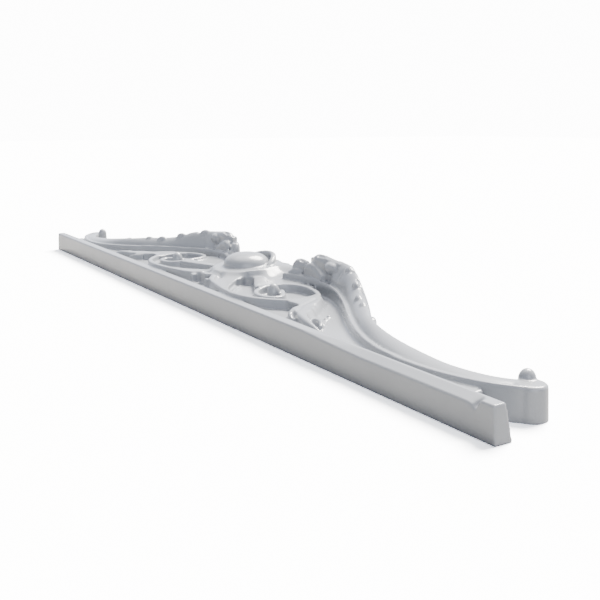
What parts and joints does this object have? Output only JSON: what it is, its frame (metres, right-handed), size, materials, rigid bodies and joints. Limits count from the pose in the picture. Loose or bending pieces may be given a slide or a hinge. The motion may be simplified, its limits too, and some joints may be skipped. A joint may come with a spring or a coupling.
{
  "type": "scroll onlay",
  "caption": "Long swan-neck scroll onlay with a domed middle, two C-scrolls and a plain base strip on a flat back.",
  "frame": {"origin": "on the flat back, at the middle of the part's width and depth, which is also the middle of the glue face", "axes": "+X along the base strip, +Y from the base strip towards the swan necks, +Z out of the carved face; the part lies on its flat back as in the picture"},
  "size_m": [0.41, 0.0534, 0.0262],
  "materials": {
    "cast_polymer": "satin, pale grey casting polymer, unpainted"
  },
  "bodies": {
    "root": {"scroll_onlay": "cast_polymer"}
  },
  "joints": []
}
